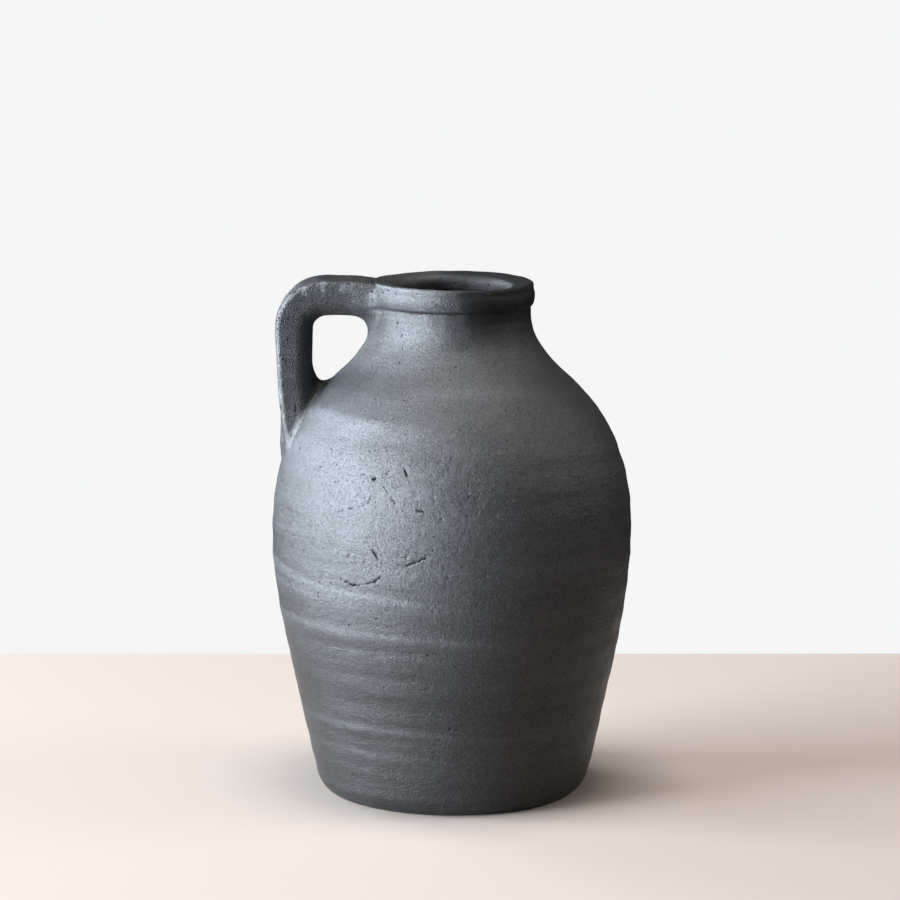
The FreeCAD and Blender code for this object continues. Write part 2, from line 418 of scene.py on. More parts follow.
def cut_mark(depth_map, recess_shade_map, stops, half_width, depth):
    """Cuts one pit or crack, given by azimuth and height along it, into the maps."""
    stops = np.array(stops, float)
    along = np.array([outer_at(height) for height in stops[:, 1]])
    around = float(np.interp(along.mean(), section_s, section[:, 0]))
    line = np.stack([np.radians(stops[:, 0]) * around, along], 1)
    reach = half_width * 3.5
    rows = np.where((row_s > line[:, 1].min() - reach) & (row_s < line[:, 1].max() + reach)
                    & outside_rows)[0]
    middle = line[:, 0].mean()
    sideways = (np.mod(angle * around - middle + math.pi * around, 2 * math.pi * around)
                - math.pi * around + middle)
    columns = np.where((sideways > line[:, 0].min() - reach) & (sideways < line[:, 0].max() + reach))[0]
    if not len(rows) or not len(columns):
        return
    x, y = np.meshgrid(sideways[columns], row_s[rows])
    spots = np.stack([x, y, np.full(x.shape, half_width * 40.0)], -1)
    x = x + 1.1 * half_width * noise(spots, 1.5)
    y = y + 1.1 * half_width * noise(spots, 1.4, 8.8)
    distance, place = polyline_distance(x, y, line)
    width = half_width * (0.5 + 0.5 * np.sin(math.pi * np.clip(0.12 + 0.76 * place, 0, 1)))
    width = width * np.clip(0.85 + 1.1 * noise(spots, 2.6, 5.5), 0.15, 1.4)
    floor = 1.0 - smoothstep(0.35, 1.3, distance / width)
    lip = gaussian(distance - 1.9 * width, 0.55 * width)
    block = np.ix_(rows, columns)
    depth_map[block] = np.minimum(depth_map[block], -depth * floor) + 0.06 * depth * lip
    # Painted shade on the floor of the mark, darker where it is deeper.
    recess_shade_map[block] = np.maximum(recess_shade_map[block], floor * min(1.0, depth / 0.6))


def scatter_marks(depth_map, recess_shade_map, count, low, high, size, west_share):
    """Cuts many small pits and short torn cracks between two heights."""
    for _ in range(count):
        height = rng.uniform(low, high)
        degrees = rng.uniform(-270.0, 90.0)
        if rng.random() < west_share:
            degrees = rng.normal(-122.0, 26.0)
        around = float(np.interp(outer_at(height), section_s, section[:, 0]))
        grain = rng.uniform(0.6, 1.25) * size
        if abs(turn_from(degrees, 180.0)) < 24.0 and height > 196.0:
            continue
        if rng.random() < 0.72:
            length = rng.uniform(0.2, 1.0) * grain
            joints = 2
        else:
            length = rng.uniform(1.4, 4.0) * size
            joints = 4
        heading = rng.normal(0.0, 0.9)
        stops = [(degrees, height)]
        for _ in range(joints - 1):
            heading += rng.normal(0.0, 0.55)
            step = length / (joints - 1)
            stops.append((stops[-1][0] + math.degrees(step * math.cos(heading) / around),
                          stops[-1][1] + step * math.sin(heading)))
        width = (0.62 if joints == 2 else 0.40) * grain
        cut_mark(depth_map, recess_shade_map, stops, width, rng.uniform(0.5, 1.0) * width)


# Small marks: how many, the lowest and highest, size, and the share that falls on the torn side.
SCATTERED = (
    (330, 126.0, 212.0, 0.72, 0.35),
    (110, 12.0, 126.0, 0.7, 0.2),
    (50, 212.0, 282.0, 0.6, 0.3),
    (70, 284.0, 299.0, 0.6, 0.3),
)

# Chips of the lip: azimuth, size, depth.
CHIPS = ((-8, 2.6, 0.9), (-22, 1.8, 0.6), (6, 2.0, 0.7), (-64, 1.5, 0.5), (-118, 1.6, 0.5), (40, 2.4, 0.8))
LIP_RADIUS = 46.0
LIP_TILT = 0.45


def clay_grain(points, height):
    """Fine roughness, coarser on the lip and on the torn zone of the belly."""
    on_rim = smoothstep(RIM_SEAM + 2.0, RIM_SEAM + 8.0, height)
    fine = 0.075 * noise(points, 4.2, 2.2) + 0.06 * noise(points, 2.3, 6.1)
    fine += 0.05 * noise(points, (34.0, 34.0, 2.4), 3.7)
    fine += on_rim * 0.32 * noise(points, 11.0, 8.2)
    roughest = plateau(112.0, 150.0, 205.0, 235.0, height)
    return fine * (0.7 + 0.8 * roughest)


def pits_and_cracks(shape):
    """Depth of all the marks on the outside, and the painted shade in them."""
    pits = np.zeros(shape)
    recess_shade = np.zeros(shape)
    for stops, half_width, depth in MARKS:
        cut_mark(pits, recess_shade, stops, MARK_SCALE * half_width, MARK_SCALE * depth)
    for marks in SCATTERED:
        scatter_marks(pits, recess_shade, *marks)
    return pits, recess_shade


def band_groove(points, degrees):
    """The groove under the rim band, deepest towards the front left, with a low ridge above it."""
    share = 0.10 + 0.80 * gaussian(turn_from(degrees, -106.0), 30.0)
    share = share * np.clip(0.75 + 0.6 * noise(points, 9.0, 3.9), 0.2, 1.2)
    away = row_s[:, None] - outer_at(RIM_TOP - 14.1)
    groove = -0.75 * gaussian(away + 0.35 * noise(points, 6.0, 5.9), 0.95) * share
    return groove + 0.22 * gaussian(away - 2.0, 1.1) * share


def lip_chips(points, degrees):
    """Small losses along the lip."""
    chips = np.zeros(degrees.shape)
    beside = (row_s - outer_at(RIM_TOP - 1.2))[:, None]
    ragged = 0.5 * noise(points, 1.8, 5.5)
    for centre, size, depth in CHIPS:
        away = np.hypot(np.radians(degrees - centre) * LIP_RADIUS, beside)
        chips -= depth * np.clip(1.0 - (away + ragged) / size, 0.0, 1.0)
    return chips


def hollow_form(points):
    """Finger rings and slow lumps of the inside."""
    hollow = 0.45 * noise(points, (90.0, 90.0, 9.0), 6.6) + 0.3 * noise(points, 30.0, 1.1)
    hollow += 0.10 * noise(points, 4.0, 2.9)
    return hollow * smoothstep(PLACES["mouth"] + 2.0, PLACES["mouth"] + 14.0, row_s)[:, None]


def worn_places(points, crests, fine):
    """Where the clay is rubbed pale: crests, the edges of the lip, the foot's edge and high grains."""
    lip_edge = (gaussian((row_s - outer_at(RIM_TOP - 0.7))[:, None], 1.2)
                + 0.7 * gaussian(row_s - PLACES["mouth"] + 4.5, 1.4)[:, None])
    foot_edge = gaussian((row_s - outer_at(4.0))[:, None], 3.0)
    wear = 0.75 * crests + 0.35 * lip_edge * np.clip(0.6 + 0.7 * noise(points, 6.0, 7.3), 0, 1.4)
    wear += 0.5 * foot_edge * np.clip(0.4 + noise(points, 8.0), 0, 1)
    return wear + 0.6 * np.clip(fine, 0.0, 1.0)


def body_relief():
    """Displacement along the wall's normal, the wear map, and the painted shade in pits, cracks, chips and
    the band's groove, for every row and column.
    """
    height = np.repeat(row_z[:, None], COLUMNS, 1)
    degrees = np.repeat(azimuth[None, :], len(row_z), 0)
    points = np.stack([row_r[:, None] * np.cos(angle), row_r[:, None] * np.sin(angle), height], -1)
    slow = body_form(points, height, degrees) + root_swell(height, degrees)
    crests = sum(ridge(*crest, points, height, degrees) for crest in RIDGES)
    fine = clay_grain(points, height)
    pits, recess_shade = pits_and_cracks(height.shape)
    groove = band_groove(points, degrees)
    chips = lip_chips(points, degrees)
    outside = outside_rows[:, None].astype(float)
    relief = outside * (slow + crests + fine + pits + chips + groove)
    relief += inside_rows[:, None].astype(float) * hollow_form(points)
    under = (row_s <= PLACES["under"])[:, None] * 0.12 * noise(points, 7.0, 4.1)
    relief += under * smoothstep(0.0, 12.0, row_s)[:, None]
    wear = np.clip(worn_places(points, crests, fine) * outside, 0.0, 1.0)
    # Painted shade in the groove under the rim band and, below, in the lip's chips.
    recess_shade = np.maximum(recess_shade, np.clip(-groove, 0.0, 0.75))
    return relief, wear, np.clip(recess_shade * outside - 0.6 * chips, 0.0, 1.0)


def body_vertices(relief):
    """Every vertex of the body, row by row: the section and its relief, turned about the axis."""
    radial = row_r[:, None] + relief * row_n[:, :1]
    upward = row_z[:, None] + relief * row_n[:, 1:]
    drift_x, drift_y = drift(row_z)
    sits = smoothstep(0.0, 30.0, row_z)
    x = radial * np.cos(angle) + (drift_x * sits)[:, None]
    y = radial * np.sin(angle) + (drift_y * sits)[:, None]
    at_lip = smoothstep(262.0, 292.0, row_z)[:, None]
    upward = upward - at_lip * LIP_TILT * x / BAND_RADIUS
    upward = np.where((row_s <= PLACES["foot"])[:, None], np.maximum(upward, 0.0), upward)
    return np.stack([x, y, upward], -1).reshape(-1, 3)


relief, wear_map, recess_shade_map = body_relief()
body_points = body_vertices(relief)


# ---------------- meshes
def ring_faces(low, high):
    """Quads, or triangles where the column counts differ, between two rows of the body."""
    step_low, step_high = row_step[low], row_step[high]
    coarse = max(step_low, step_high)
    fine = min(step_low, step_high)
    starts = np.arange(0, COLUMNS, coarse)
    following = (starts + coarse) % COLUMNS
    if coarse == fine:
        quads = np.stack([low * COLUMNS + starts, low * COLUMNS + following,
                          high * COLUMNS + following, high * COLUMNS + starts], 1)
        return quads, np.zeros((0, 3), int)
    coarse_row, fine_row = (low, high) if step_low > step_high else (high, low)
    parts = coarse // fine
    triangles = []
    for part in range(parts):
        a = fine_row * COLUMNS + (starts + part * fine) % COLUMNS
        b = fine_row * COLUMNS + (starts + (part + 1) * fine) % COLUMNS
        anchor = coarse_row * COLUMNS + (starts if part < parts / 2 else following)
        triangles.append(np.stack([a, b, anchor], 1))
    middle = fine_row * COLUMNS + (starts + (parts + 1) // 2 * fine) % COLUMNS
    triangles.append(np.stack([middle, coarse_row * COLUMNS + following, coarse_row * COLUMNS + starts], 1))
    triangles = np.vstack(triangles)
    if fine_row == high:
        triangles = triangles[:, ::-1]
    return np.zeros((0, 4), int), triangles


def collect(pairs):
    quads, triangles = zip(*[ring_faces(low, high) for low, high in pairs])
    return np.vstack(quads), np.vstack(triangles)


def cap_faces(row, top):
    """Closes the middle of the disc at one row with one many-sided face."""
    ring = row * COLUMNS + np.arange(0, COLUMNS, row_step[row])
    return ring if top else ring[::-1]


def face_normals(points, faces):
    a, b, c = points[faces[:, 0]], points[faces[:, 1]], points[faces[:, 2]]
    if faces.shape[1] == 4:
        return np.cross(c - a, points[faces[:, 3]] - b)
    return np.cross(b - a, c - a)


def smooth_normals(points):
    """One normal for each vertex of the body, weighted by the area of the faces round it."""
    normals = np.zeros_like(points)
    for faces in collect([(row, row + 1) for row in range(len(row_s) - 1)]):
        across = face_normals(points, faces)
        for corner in range(faces.shape[1]):
            np.add.at(normals, faces[:, corner], across)
    return unit(normals)


vertex_normals = smooth_normals(body_points)


def add_object(name, data):
    """A new object in the scene, from a mesh, lamp or camera."""
    made = bpy.data.objects.new(name, data)
    bpy.context.scene.collection.objects.link(made)
    return made


def build_mesh(name, points, groups, values):
    """A mesh object from groups of faces. Each group is (faces, normals or None for flat)."""
    faces = []
    loop_normals = []
    for group, normals in groups:
        for block in (group if isinstance(group, tuple) else (group,)):
            if not len(block):
                continue
            faces.append(block)
            if normals is None:
                flat = unit(face_normals(points, block), 1e-12)
                loop_normals.append(np.repeat(flat, block.shape[1], 0))
            else:
                loop_normals.append(normals[block.reshape(-1)])
    corners = np.concatenate([block.reshape(-1) for block in faces])
    totals = np.concatenate([np.full(len(block), block.shape[1]) for block in faces])
    used, corners = np.unique(corners, return_inverse=True)
    mesh = bpy.data.meshes.new(name)
    mesh.vertices.add(len(used))
    mesh.vertices.foreach_set("co", (points[used] * MM).astype(np.float32).reshape(-1))
    mesh.loops.add(len(corners))
    mesh.loops.foreach_set("vertex_index", corners.astype(np.int32))
    mesh.polygons.add(len(totals))
    mesh.polygons.foreach_set("loop_start", np.concatenate([[0], np.cumsum(totals)[:-1]]).astype(np.int32))
    mesh.polygons.foreach_set("loop_total", totals.astype(np.int32))
    mesh.polygons.foreach_set("use_smooth", np.ones(len(totals), bool))
    mesh.update(calc_edges=True)
    for key, data in values.items():
        layer = mesh.attributes.new(key, "FLOAT", "POINT")
        layer.data.foreach_set("value", data[used].astype(np.float32))
    mesh.normals_split_custom_set(np.concatenate(loop_normals).astype(np.float32))
    return add_object(name, mesh)


def body_piece(name, outer_from, outer_to, inner_from, inner_to):
    """One closed ring of the wall: an outer run of rows, an inner run, and the seams between them."""
    first, second = row_of(outer_from), row_of(outer_to)
    third, fourth = row_of(inner_from), row_of(inner_to)
    pairs = [(row, row + 1) for row in [*range(first, second), *range(third, fourth)]]
    groups = [(collect(pairs), vertex_normals)]
    if inner_from != outer_to:
        groups.append((ring_faces(second, third), None))
    if outer_from == "axis":
        groups.append((cap_faces(first, False)[None, :], vertex_normals))
        groups.append((cap_faces(fourth, True)[None, :], vertex_normals))
    else:
        groups.append((ring_faces(fourth, first), None))
    return build_mesh(name, body_points, groups,
                      {"wear": wear_map.reshape(-1), "recess_shade": recess_shade_map.reshape(-1)})


# CAD node, name, and the places between which the outer and inner runs of rows lie.
WALL_RINGS = (
    ("floor_slab", "clay_floor", "axis", "floor_seam", "floor_seam_in", "end"),
    ("lower_wall", "clay_lower_wall", "floor_seam", "belly_seam", "belly_seam_in", "floor_seam_in"),
    ("shoulder_wall", "clay_shoulder", "belly_seam", "collar_seam", "collar_seam_in", "belly_seam_in"),
    ("neck_collar", "clay_collar", "collar_seam", "rim_seam", "rim_seam_in", "collar_seam_in"),
    ("rim_coil", "clay_rim", "rim_seam", "rim_seam_in", "rim_seam_in", "rim_seam_in"),
)
pieces = {node: body_piece(name, *places) for node, name, *places in WALL_RINGS}


# ---------------- handle, as one smooth solid
STRAP_INSIDE = 80.9
STRAP_HALF = (STRAP_FACE - STRAP_INSIDE) / 2
OUTER_CORNER = 3.0
INNER_CORNER = 9.6
BEND = 18.3
SPINE_TOP = STRAP_TOP - STRAP_HALF - 0.3
SPINE_SIDE = STRAP_FACE - STRAP_HALF

# How far the surface is drawn in, how deep the handle's clay goes into the wall, how far it is wiped
# out from the strap, and where it ends inside the lip.
SINK = 0.25
SHELL = 1.7
WRAP = 12.0
ROOT_INSIDE = 36.5

# How far the strap dips at the root, so that its top runs into the lip: distance from the axis, dip.
ROOT_DIP = ((34.0, 8.0), (40.0, 4.4), (44.0, 2.7), (48.0, 1.6), (54.0, 0.7), (62.0, 0.1), (72.0, 0.0))

# How the strap leans in towards the shoulder on its way down: height, distance inwards.
TAIL_LEAN = ((270.0, 0.0), (258.0, 0.1), (246.0, 0.5), (234.0, 1.4), (220.0, 2.9), (206.0, 4.3),
             (192.0, 5.0))


def make_spine():
    """X and Z along the middle of the strap: out from the rim, round the bend and down."""
    turns = np.radians(np.linspace(90.0, 180.0, 25))
    bend_x = BEND * np.cos(turns) - (SPINE_SIDE - BEND)
    bend_z = BEND * np.sin(turns) + SPINE_TOP - BEND
    return np.vstack([
        catmull([(-x, SPINE_TOP - dip) for x, dip in ROOT_DIP], 4),
        np.stack([bend_x, bend_z], 1),
        catmull([(lean - SPINE_SIDE, height) for height, lean in TAIL_LEAN], 8),
    ])


spine = make_spine()
spine_gap = np.linalg.norm(np.diff(spine, axis=0), axis=1)
spine_start = np.concatenate([[0.0], np.cumsum(spine_gap)])


def spine_frame(x, z):
    """Distance along the handle's spine, and the offset from it towards the outside."""
    best = np.full(x.shape, 1e9)
    along = np.zeros(x.shape)
    offset = np.zeros(x.shape)
    for (ax, az), (bx, bz), start, length in zip(spine, spine[1:], spine_start, spine_gap):
        tx, tz = (bx - ax) / length, (bz - az) / length
        t = np.clip((x - ax) * tx + (z - az) * tz, 0.0, length)
        dx, dz = x - ax - t * tx, z - az - t * tz
        distance = np.hypot(dx, dz)
        closer = distance < best
        best = np.where(closer, distance, best)
        along = np.where(closer, start + t, along)
        offset = np.where(closer, np.sign(dx * tz - dz * tx) * distance, offset)
    return along, offset


def strap_distance(along, offset, y, points):
    """Signed distance to the pulled strap: a rounded band, crowned, a little uneven, wider at its tail."""
    length = spine_start[-1]
    tail = smoothstep(length - 62.0, length - 6.0, along)
    half_width = STRAP_HALF_WIDTH + 4.0 * tail + (0.16 - 0.06 * tail) * np.clip(offset, -12.0, 12.0)
    half_width = half_width + 0.5 * np.sin(along / 13.0 + 0.6) + 0.35 * np.sin(along / 6.1)
    half_thick = STRAP_HALF - 1.2 * tail + 0.35 * np.sin(along / 9.0 + 1.0)
    across = y - 0.5 * np.sin(along / 21.0)
    crown = (across / STRAP_HALF_WIDTH) ** 2
    half_thick = half_thick + 0.15 - 0.5 * crown + 0.6 * (1.0 - smoothstep(40.0, 66.0, along))
    corner = INNER_CORNER + (OUTER_CORNER - INNER_CORNER) * smoothstep(-1.0, 6.0, offset)
    qx = np.abs(across) - (half_width - corner)
    qz = np.abs(offset) - (half_thick - corner)
    distance = np.hypot(np.maximum(qx, 0), np.maximum(qz, 0)) + np.minimum(np.maximum(qx, qz), 0) - corner
    lumps = 0.30 * noise(points, 17.0, 12.0) + 0.16 * noise(points, 7.5, 13.0)
    return distance - lumps


def wall_distance(points):
    """Signed distance to the outside of the body, near enough at the handle."""
    height = np.clip(points[..., 2], 150.0, RIM_TOP)
    x = points[..., 0] - drift(height)[0]
    y = points[..., 1] - drift(height)[1]
    away = np.hypot(x, y)
    radius = np.interp(height, section[OUTSIDE_RUN, 1], section[OUTSIDE_RUN, 0])
    radius = radius + root_swell(height, np.degrees(np.arctan2(y, x)))
    lean = np.interp(height, section[OUTSIDE_RUN, 1], section_normal[OUTSIDE_RUN, 0])
    beside = (away - radius) * np.clip(lean, 0.35, 1.0)
    lip = points[..., 2] - (RIM_TOP + 0.45 - 0.17 * np.clip(BAND_RADIUS - 2.6 - away, 0, 12))
    corner = np.clip(3.0 - np.abs(beside - lip), 0.0, None) / 3.0
    return np.maximum(beside, lip) + corner**2 * 3.0 / 4


def handle_field(points, frame_of_spine=None):
    """Below zero inside the handle's clay, with the ends wiped on to the body."""
    x, y, z = points[..., 0], points[..., 1], points[..., 2]
    along, offset = frame_of_spine if frame_of_spine else spine_frame(x, z)
    strap = strap_distance(along, offset, y, points)
    wall = wall_distance(points)
    at_tail = 1.0 - smoothstep(245.0, 262.0, z)
    wiped = 6.0 - at_tail + (8.0 + 3.5 * at_tail) * gaussian(y, 8.0)
    wiped = wiped * (1.0 - 0.86 * smoothstep(RIM_TOP - 8.0, RIM_TOP - 1.0, z))
    wiped = np.maximum(wiped * smoothstep(187.0, 208.0, z), 0.4)
    near = np.clip(wiped - np.abs(strap - wall), 0.0, None) / wiped
    joined = np.minimum(strap, wall) - near**2 * wiped / 4
    return np.maximum.reduce([joined + SINK, -(wall + SHELL), strap - WRAP, ROOT_INSIDE - np.hypot(x, y)])


def surface_net(field, origin, cell):
    """Vertices and quads on the zero surface of a field sampled on a cubic grid."""
    inside = field < 0
    shape = np.array(field.shape) - 1
    crossings = np.zeros((*shape, 3), np.float32)
    counts = np.zeros(shape, np.float32)
    for axis in range(3):
        others = [k for k in range(3) if k != axis]
        for side in product((0, 1), repeat=2):
            low = [slice(0, n) for n in shape]
            for k, offset in zip(others, side):
                low[k] = slice(offset, offset + shape[k])
            high = list(low)
            high[axis] = slice(1, shape[axis] + 1)
            a, b = field[tuple(low)], field[tuple(high)]
            cut = inside[tuple(low)] != inside[tuple(high)]
            t = np.where(cut, a / np.where(cut, a - b, 1.0), 0.0)
            counts += cut
            crossings[..., axis] += np.where(cut, t, 0.0)
            for k, offset in zip(others, side):
                crossings[..., k] += cut * offset
    active = counts > 0
    index = np.full(shape, -1)
    index[active] = np.arange(active.sum())
    where = np.stack(np.nonzero(active), 1)
    vertices = origin + cell * (where + crossings[active] / counts[active][:, None])
    quads = []
    for axis in range(3):
        b, c = (axis + 1) % 3, (axis + 2) % 3
        low = [slice(1, -1)] * 3
        low[axis] = slice(0, -1)
        high = list(low)
        high[axis] = slice(1, None)
        start = inside[tuple(low)]
        end = inside[tuple(high)]
        cells = np.stack(np.nonzero(start != end), 1)
        base = cells + 1
        base[:, axis] -= 1
        corner = []
        for db, dc in ((1, 1), (0, 1), (0, 0), (1, 0)):
            spot = base.copy()
            spot[:, b] -= db
            spot[:, c] -= dc
            corner.append(index[tuple(spot.T)])
        face = np.stack(corner, 1)
        flip = ~start[tuple(cells.T)]
        face[flip] = face[flip][:, ::-1]
        quads.append(face)
    return vertices, np.vstack(quads)


# The grid that the handle is worked out on.
CELL = 0.75
GRID_LOW = (-108.0, -27.0, 186.0)
GRID_HIGH = (-33.0, 27.5, 309.0)


def field_gradient(points, reach=0.35):
    slope = np.zeros_like(points)
    for axis in range(3):
        step = np.zeros(3)
        step[axis] = reach
        slope[:, axis] = (handle_field(points + step) - handle_field(points - step)) / (2 * reach)
    return slope


def handle_surface():
    """Vertices and quads of the whole handle, drawn on to the field's zero in two steps."""
    axes = [np.arange(low, high, CELL) for low, high in zip(GRID_LOW, GRID_HIGH)]
    along, offset = spine_frame(*np.meshgrid(axes[0], axes[2], indexing="ij"))
    grid = np.stack(np.meshgrid(*axes, indexing="ij"), -1)
    field = handle_field(grid, (along[:, None, :], offset[:, None, :]))
    points, quads = surface_net(field, np.array(GRID_LOW), CELL)
    for _ in range(2):
        slope = field_gradient(points)
        value = handle_field(points)[:, None]
        push = np.clip(value / np.maximum((slope**2).sum(1, keepdims=True), 0.2), -0.4, 0.4)
        points = points - push * slope
    return points, quads


# Painted highlights: pale spots near the strap's front top corner, put into the wear map: centre, reach.
PAINTED_HIGHLIGHT_SPOTS = (
    ((-85.0, -15.6, 297.0), 3.6),
    ((-74.5, -15.8, 298.6), 3.4),
    ((-63.0, -16.0, 297.4), 3.8),
)


def handle_skin(points):
    """Grain, pits and a tear pushed along the handle's normals, with its map of wear and painted highlights
    and its map of painted shade.
    """
    offset = spine_frame(points[:, 0], points[:, 2])[1]
    outer_side = smoothstep(0.0, 8.0, offset)
    grain = 0.07 * noise(points, 3.6, 21.0) + 0.05 * noise(points, 2.0, 22.0)
    grain += 0.10 * noise(points, (9.0, 3.0, 9.0), 23.0) * outer_side
    speck = np.clip(noise(points, 2.6, 24.0) - 0.38, 0.0, 0.5) / 0.5
    speck *= np.clip(noise(points, 14.0, 25.0) + 0.35 + 0.5 * outer_side, 0.0, 1.0)

    wear = np.clip(1.3 * noise(points, 6.0, 26.0) - 0.35, 0.0, 1.0) * outer_side
    edge = np.hypot(np.abs(points[:, 1]) - STRAP_HALF_WIDTH + 3.0, offset - STRAP_HALF + 3.0)
    rubbed = gaussian(edge, 3.2) * np.clip(0.5 + noise(points, 5.0, 27.0), 0, 1)
    wear = np.clip(0.6 * wear + 0.10 * rubbed, 0, 1)
    # Painted highlights, as pale spots in the wear map.
    for spot, reach in PAINTED_HIGHLIGHT_SPOTS:
        away = (points - np.array(spot)) * np.array([1.5, 1.0, 0.75])
        away = np.linalg.norm(away, axis=1) + 2.0 * noise(points, 2.6, 28.0)
        wear = np.maximum(wear, 1.0 - smoothstep(0.35 * reach, reach, away))

    tear = 0.8 * gaussian(points[:, 0] + 90.6 + 0.9 * noise(points, 2.6, 29.0), 0.6)
    tear = tear * plateau(221.5, 223.5, 228.5, 230.5, points[:, 2])
    tear = tear * (points[:, 1] < 0.0)
    # Painted shade in the small pits and in the tear.
    recess_shade = np.maximum(np.clip(speck * 1.6, 0.0, 1.0), tear)
    normals = unit(field_gradient(points), 1e-6)
    return points + normals * (grain - 0.45 * speck - 0.8 * tear)[:, None], wear, recess_shade


smooth_handle, handle_quads = handle_surface()
handle_points, handle_wear_and_highlights, handle_recess_shade = handle_skin(smooth_handle)


def handle_piece(name, cuts):
    """The part of the handle on the kept side of each cutting plane (point, normal), closed flat."""
    work = bmesh.new()
    mesh = bpy.data.meshes.new(name)
    mesh.from_pydata((handle_points * MM).tolist(), [], handle_quads.tolist())
    for key, data in (("wear", handle_wear_and_highlights), ("recess_shade", handle_recess_shade)):
        mesh.attributes.new(key, "FLOAT", "POINT").data.foreach_set("value", data.astype(np.float32))
    work.from_mesh(mesh)
    for place, normal in cuts:
        geometry = work.verts[:] + work.edges[:] + work.faces[:]
        bmesh.ops.bisect_plane(work, geom=geometry, plane_co=[c * MM for c in place], plane_no=normal,
                               dist=1e-7, clear_outer=True)
        open_edges = [e for e in work.edges if e.is_boundary]
        made = bmesh.ops.holes_fill(work, edges=open_edges, sides=0)["faces"]
        bmesh.ops.triangulate(work, faces=made)
    work.normal_update()
    work.to_mesh(mesh)
    work.free()
    coords = np.empty(len(mesh.vertices) * 3)
    mesh.vertices.foreach_get("co", coords)
    coords = coords.reshape(-1, 3) / MM
    normals = unit(field_gradient(coords), 1e-6)
    corner_vertex = np.empty(len(mesh.loops), int)
    mesh.loops.foreach_get("vertex_index", corner_vertex)
    loop_normals = normals[corner_vertex]
    flat = np.empty(len(mesh.polygons) * 3)
    mesh.polygons.foreach_get("normal", flat)
    totals = np.empty(len(mesh.polygons), int)
    mesh.polygons.foreach_get("loop_total", totals)
    per_loop = np.repeat(flat.reshape(-1, 3), totals, 0)
    on_cap = np.zeros(len(per_loop), bool)
    for _, normal in cuts:
        on_cap |= per_loop @ np.array(normal) > 0.9999
    loop_normals[on_cap] = per_loop[on_cap]
    mesh.polygons.foreach_set("use_smooth", np.ones(len(mesh.polygons), bool))
    mesh.normals_split_custom_set(loop_normals.astype(np.float32))
    return add_object(name, mesh)


root_plane = (-ROOT_START, 0.0, 0.0)
tail_plane = (0.0, 0.0, STRAP_BOTTOM)
HANDLE_CUTS = (
    ("handle_root", [(root_plane, (-1, 0, 0)), (tail_plane, (0, 0, -1))]),
    ("handle_strap", [(root_plane, (1, 0, 0)), (tail_plane, (0, 0, -1))]),
    ("handle_tail", [(tail_plane, (0, 0, 1))]),
)
for node, cuts in HANDLE_CUTS:
    pieces[node] = handle_piece("clay_" + node, cuts)


# ---------------- the fired clay
def add(tree, kind, **settings):
    node = tree.nodes.new(kind)
    for key, value in settings.items():
        if key in node.inputs:
            node.inputs[key].default_value = value
        else:
            setattr(node, key, value)
    return node

COLOURS = {
    "clay": (0.023, 0.0235, 0.0245),
    "cloud": (0.034, 0.035, 0.037),
    "streak": (0.048, 0.050, 0.053),
    "blotch": (0.055, 0.057, 0.060),
    "grit": (0.13, 0.134, 0.14),
    "soot": (0.010, 0.010, 0.0105),
    # Pale wear; on the handle it also paints the highlight spots.
    "rubbed": (0.20, 0.207, 0.218),
    # Painted shade, for the lower part of the body.
    "foot": (0.004, 0.004, 0.004),
    # Painted shade on the neck.
    "painted_neck_tone": (0.012, 0.012, 0.0125),
    # Painted shade inside pits and cracks.
    "painted_pit_shade": (0.005, 0.005, 0.005),
}


